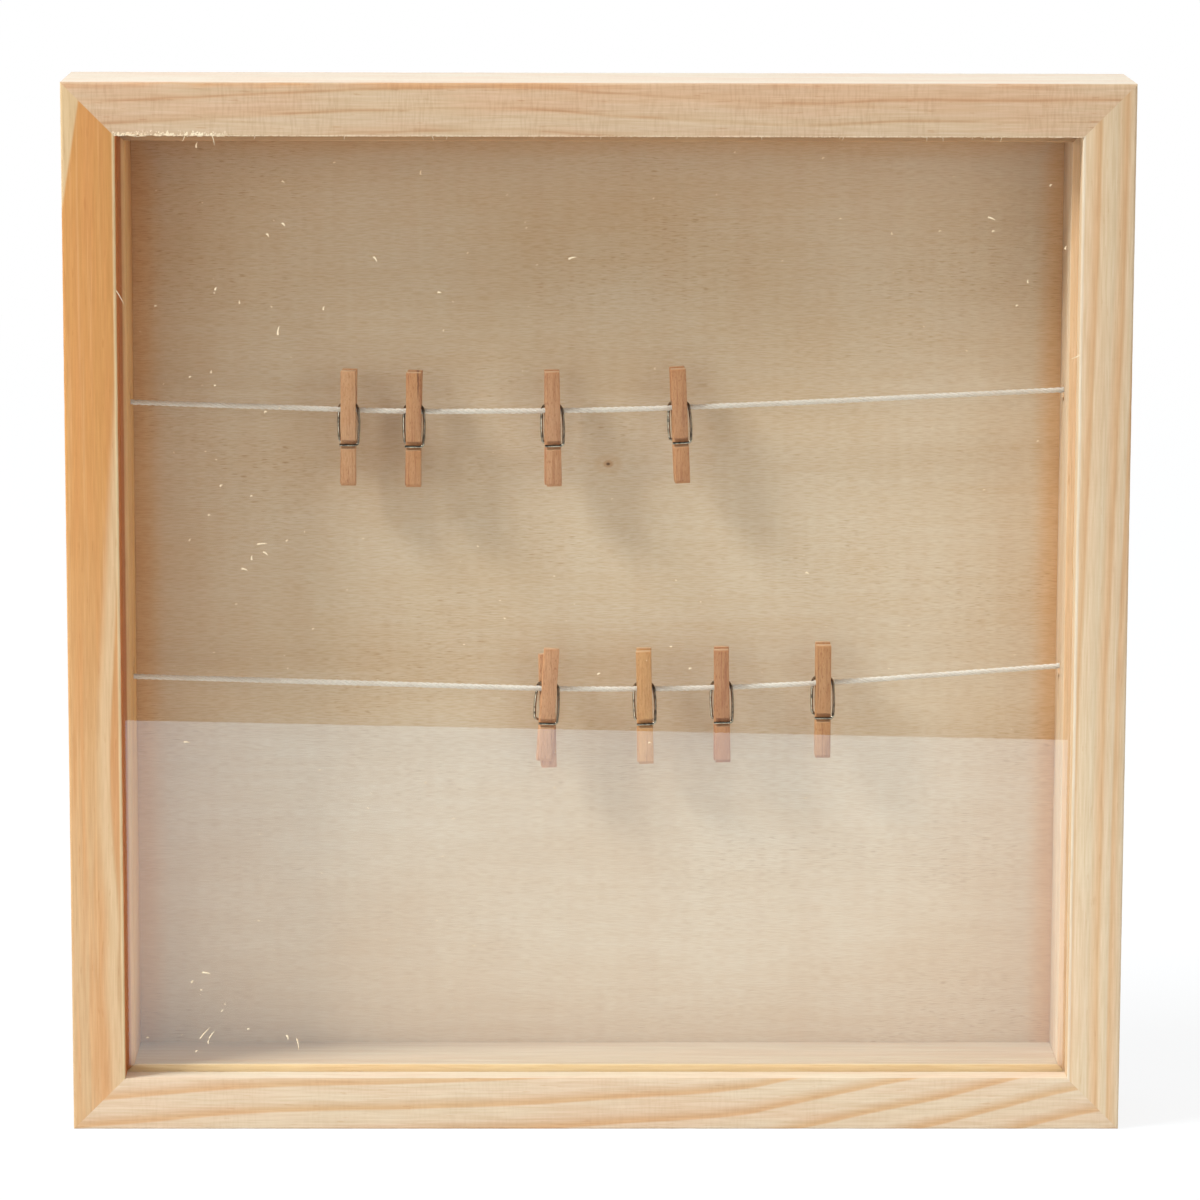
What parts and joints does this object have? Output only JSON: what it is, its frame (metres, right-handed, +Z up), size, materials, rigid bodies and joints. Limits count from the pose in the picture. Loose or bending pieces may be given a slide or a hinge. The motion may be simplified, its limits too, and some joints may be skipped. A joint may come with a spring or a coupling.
{
  "type": "clothespin photo frame",
  "caption": "Deep square pine box frame with a clear pane, a lift-out plywood back and strung cotton cords that carry small sprung clothespins for hanging photos.",
  "frame": {"origin": "centre of the bottom of the overall box, under the bottom rail", "axes": "+X to the right seen from the front, -Y towards the viewer, +Z up"},
  "size_m": [0.3, 0.0428, 0.3],
  "materials": {
    "top_pine": "planed bare pine",
    "bottom_pine": "planed bare pine",
    "left_pine": "planed bare pine, orange heartwood",
    "right_pine": "planed bare pine",
    "slip_pine": "planed bare pine",
    "plywood": "sanded thin plywood",
    "pane": "clear, polished",
    "cotton": "twisted white cotton",
    "peg_wood": "bare beech",
    "spring_steel": "bright drawn wire",
    "zinc_steel": "zinc plated"
  },
  "bodies": {
    "root": {"top_rail": "top_pine", "bottom_rail": "bottom_pine", "left_stile": "left_pine", "right_stile": "right_pine", "pane": "pane", "spacer_top": "slip_pine", "spacer_bottom": "slip_pine", "spacer_left": "slip_pine", "spacer_right": "slip_pine", "upper_cord": "cotton", "lower_cord": "cotton", "upper_knot_left": "cotton", "upper_knot_right": "cotton", "lower_knot_left": "cotton", "lower_knot_right": "cotton", "turn_screw_1": "zinc_steel", "turn_screw_2": "zinc_steel", "turn_screw_3": "zinc_steel", "turn_screw_4": "zinc_steel", "hanger_plate": "zinc_steel", "hanger_nail_left": "zinc_steel", "hanger_nail_right": "zinc_steel", "corner_fastener_top_left": "zinc_steel", "corner_fastener_top_right": "zinc_steel", "corner_fastener_bottom_left": "zinc_steel", "corner_fastener_bottom_right": "zinc_steel"},
    "back_panel": {"back_panel": "plywood"},
    "turn_button_1": {"turn_button_1": "zinc_steel"},
    "turn_button_2": {"turn_button_2": "zinc_steel"},
    "turn_button_3": {"turn_button_3": "zinc_steel"},
    "turn_button_4": {"turn_button_4": "zinc_steel"},
    "peg_1_coil": {"peg_1_spring": "spring_steel"},
    "peg_1_rear": {"peg_1_rear_leg": "peg_wood"},
    "peg_1_front": {"peg_1_front_leg": "peg_wood"},
    "peg_2_coil": {"peg_2_spring": "spring_steel"},
    "peg_2_rear": {"peg_2_rear_leg": "peg_wood"},
    "peg_2_front": {"peg_2_front_leg": "peg_wood"},
    "peg_3_coil": {"peg_3_spring": "spring_steel"},
    "peg_3_rear": {"peg_3_rear_leg": "peg_wood"},
    "peg_3_front": {"peg_3_front_leg": "peg_wood"},
    "peg_4_coil": {"peg_4_spring": "spring_steel"},
    "peg_4_rear": {"peg_4_rear_leg": "peg_wood"},
    "peg_4_front": {"peg_4_front_leg": "peg_wood"},
    "peg_5_coil": {"peg_5_spring": "spring_steel"},
    "peg_5_rear": {"peg_5_rear_leg": "peg_wood"},
    "peg_5_front": {"peg_5_front_leg": "peg_wood"},
    "peg_6_coil": {"peg_6_spring": "spring_steel"},
    "peg_6_rear": {"peg_6_rear_leg": "peg_wood"},
    "peg_6_front": {"peg_6_front_leg": "peg_wood"},
    "peg_7_coil": {"peg_7_spring": "spring_steel"},
    "peg_7_rear": {"peg_7_rear_leg": "peg_wood"},
    "peg_7_front": {"peg_7_front_leg": "peg_wood"},
    "peg_8_coil": {"peg_8_spring": "spring_steel"},
    "peg_8_rear": {"peg_8_rear_leg": "peg_wood"},
    "peg_8_front": {"peg_8_front_leg": "peg_wood"}
  },
  "joints": [
    {"name": "panel_slide", "type": "slide", "parent": "root", "child": "back_panel", "axis": [0, 1, 0], "range_m": [0, 0.045]},
    {"name": "turn_button_1_turn", "type": "hinge", "parent": "root", "child": "turn_button_1", "pos_m": [-0.145, 0.01855, 0.075], "axis": [0, 1, 0], "range_deg": [0, 90]},
    {"name": "turn_button_2_turn", "type": "hinge", "parent": "root", "child": "turn_button_2", "pos_m": [-0.145, 0.01855, 0.225], "axis": [0, 1, 0], "range_deg": [0, 90]},
    {"name": "turn_button_3_turn", "type": "hinge", "parent": "root", "child": "turn_button_3", "pos_m": [0.145, 0.01855, 0.075], "axis": [0, -1, 0], "range_deg": [0, 90]},
    {"name": "turn_button_4_turn", "type": "hinge", "parent": "root", "child": "turn_button_4", "pos_m": [0.145, 0.01855, 0.225], "axis": [0, -1, 0], "range_deg": [0, 90]},
    {"name": "peg_1_slide", "type": "slide", "parent": "root", "child": "peg_1_coil", "axis": [0.9994, 0, -0.0334], "range_m": [-0.0564, 0.005]},
    {"name": "peg_1_swing", "type": "hinge", "parent": "peg_1_coil", "child": "peg_1_rear", "pos_m": [-0.071, 0.00405, 0.20499], "axis": [0.9998, -0.0175, -0.0017], "range_deg": [-12, 12]},
    {"name": "peg_1_open", "type": "hinge", "parent": "peg_1_rear", "child": "peg_1_front", "pos_m": [-0.071, 0.00405, 0.20499], "axis": [-0.9998, 0.0175, 0.0017], "range_deg": [0, 14], "stiffness_Nm_per_rad": 0.05, "deforming": ["peg_1_spring"]},
    {"name": "peg_2_slide", "type": "slide", "parent": "root", "child": "peg_2_coil", "axis": [1, 0, -0.0032], "range_m": [-0.005, 0.0154]},
    {"name": "peg_2_swing", "type": "hinge", "parent": "peg_2_coil", "child": "peg_2_rear", "pos_m": [-0.05237, 0.00405, 0.20456], "axis": [0.9998, -0.0175, -0.0035], "range_deg": [-12, 12]},
    {"name": "peg_2_open", "type": "hinge", "parent": "peg_2_rear", "child": "peg_2_front", "pos_m": [-0.05237, 0.00405, 0.20456], "axis": [-0.9998, 0.0175, 0.0035], "range_deg": [0, 14], "stiffness_Nm_per_rad": 0.05, "deforming": ["peg_2_spring"]},
    {"name": "peg_3_slide", "type": "slide", "parent": "root", "child": "peg_3_coil", "axis": [0.9999, 0, 0.0139], "range_m": [-0.0154, 0.0137]},
    {"name": "peg_3_swing", "type": "hinge", "parent": "peg_3_coil", "child": "peg_3_rear", "pos_m": [-0.01293, 0.00405, 0.2048], "axis": [0.9988, 0.0436, 0.0227], "range_deg": [-12, 12]},
    {"name": "peg_3_open", "type": "hinge", "parent": "peg_3_rear", "child": "peg_3_front", "pos_m": [-0.01293, 0.00405, 0.2048], "axis": [-0.9988, -0.0436, -0.0227], "range_deg": [0, 14], "stiffness_Nm_per_rad": 0.05, "deforming": ["peg_3_spring"]},
    {"name": "peg_4_slide", "type": "slide", "parent": "root", "child": "peg_4_coil", "axis": [0.9989, 0, 0.0463], "range_m": [-0.0138, 0.1042]},
    {"name": "peg_4_swing", "type": "hinge", "parent": "peg_4_coil", "child": "peg_4_rear", "pos_m": [0.02325, 0.00405, 0.20573], "axis": [0.9979, 0.0453, 0.0454], "range_deg": [-12, 12]},
    {"name": "peg_4_open", "type": "hinge", "parent": "peg_4_rear", "child": "peg_4_front", "pos_m": [0.02325, 0.00405, 0.20573], "axis": [-0.9979, -0.0453, -0.0454], "range_deg": [0, 14], "stiffness_Nm_per_rad": 0.05, "deforming": ["peg_4_spring"]},
    {"name": "peg_5_slide", "type": "slide", "parent": "root", "child": "peg_5_coil", "axis": [0.9996, 0, -0.0276], "range_m": [-0.1133, 0.0095]},
    {"name": "peg_5_swing", "type": "hinge", "parent": "peg_5_coil", "child": "peg_5_rear", "pos_m": [-0.0141, 0.00405, 0.12415], "axis": [0.9905, 0.1216, -0.0645], "range_deg": [-12, 12]},
    {"name": "peg_5_open", "type": "hinge", "parent": "peg_5_rear", "child": "peg_5_front", "pos_m": [-0.0141, 0.00405, 0.12415], "axis": [-0.9905, -0.1216, 0.0645], "range_deg": [0, 14], "stiffness_Nm_per_rad": 0.05, "deforming": ["peg_5_spring"]},
    {"name": "peg_6_slide", "type": "slide", "parent": "root", "child": "peg_6_coil", "axis": [0.9999, 0, 0.0101], "range_m": [-0.0095, 0.0068]},
    {"name": "peg_6_swing", "type": "hinge", "parent": "peg_6_coil", "child": "peg_6_rear", "pos_m": [0.01365, 0.00405, 0.12406], "axis": [0.9995, 0, 0.0314], "range_deg": [-12, 12]},
    {"name": "peg_6_open", "type": "hinge", "parent": "peg_6_rear", "child": "peg_6_front", "pos_m": [0.01365, 0.00405, 0.12406], "axis": [-0.9995, 0, -0.0314], "range_deg": [0, 14], "stiffness_Nm_per_rad": 0.05, "deforming": ["peg_6_spring"]},
    {"name": "peg_7_slide", "type": "slide", "parent": "root", "child": "peg_7_coil", "axis": [0.9994, 0, 0.0347], "range_m": [-0.0068, 0.0102]},
    {"name": "peg_7_swing", "type": "hinge", "parent": "peg_7_coil", "child": "peg_7_rear", "pos_m": [0.03591, 0.00405, 0.12452], "axis": [0.9997, 0, 0.0227], "range_deg": [-12, 12]},
    {"name": "peg_7_open", "type": "hinge", "parent": "peg_7_rear", "child": "peg_7_front", "pos_m": [0.03591, 0.00405, 0.12452], "axis": [-0.9997, 0, -0.0227], "range_deg": [0, 14], "stiffness_Nm_per_rad": 0.05, "deforming": ["peg_7_spring"]},
    {"name": "peg_8_slide", "type": "slide", "parent": "root", "child": "peg_8_coil", "axis": [0.9975, 0, 0.0705], "range_m": [-0.0103, 0.0624]},
    {"name": "peg_8_swing", "type": "hinge", "parent": "peg_8_coil", "child": "peg_8_rear", "pos_m": [0.06509, 0.00405, 0.12589], "axis": [1, 0.0052, 0], "range_deg": [-12, 12]},
    {"name": "peg_8_open", "type": "hinge", "parent": "peg_8_rear", "child": "peg_8_front", "pos_m": [0.06509, 0.00405, 0.12589], "axis": [-1, -0.0052, 0], "range_deg": [0, 14], "stiffness_Nm_per_rad": 0.05, "deforming": ["peg_8_spring"]}
  ]
}
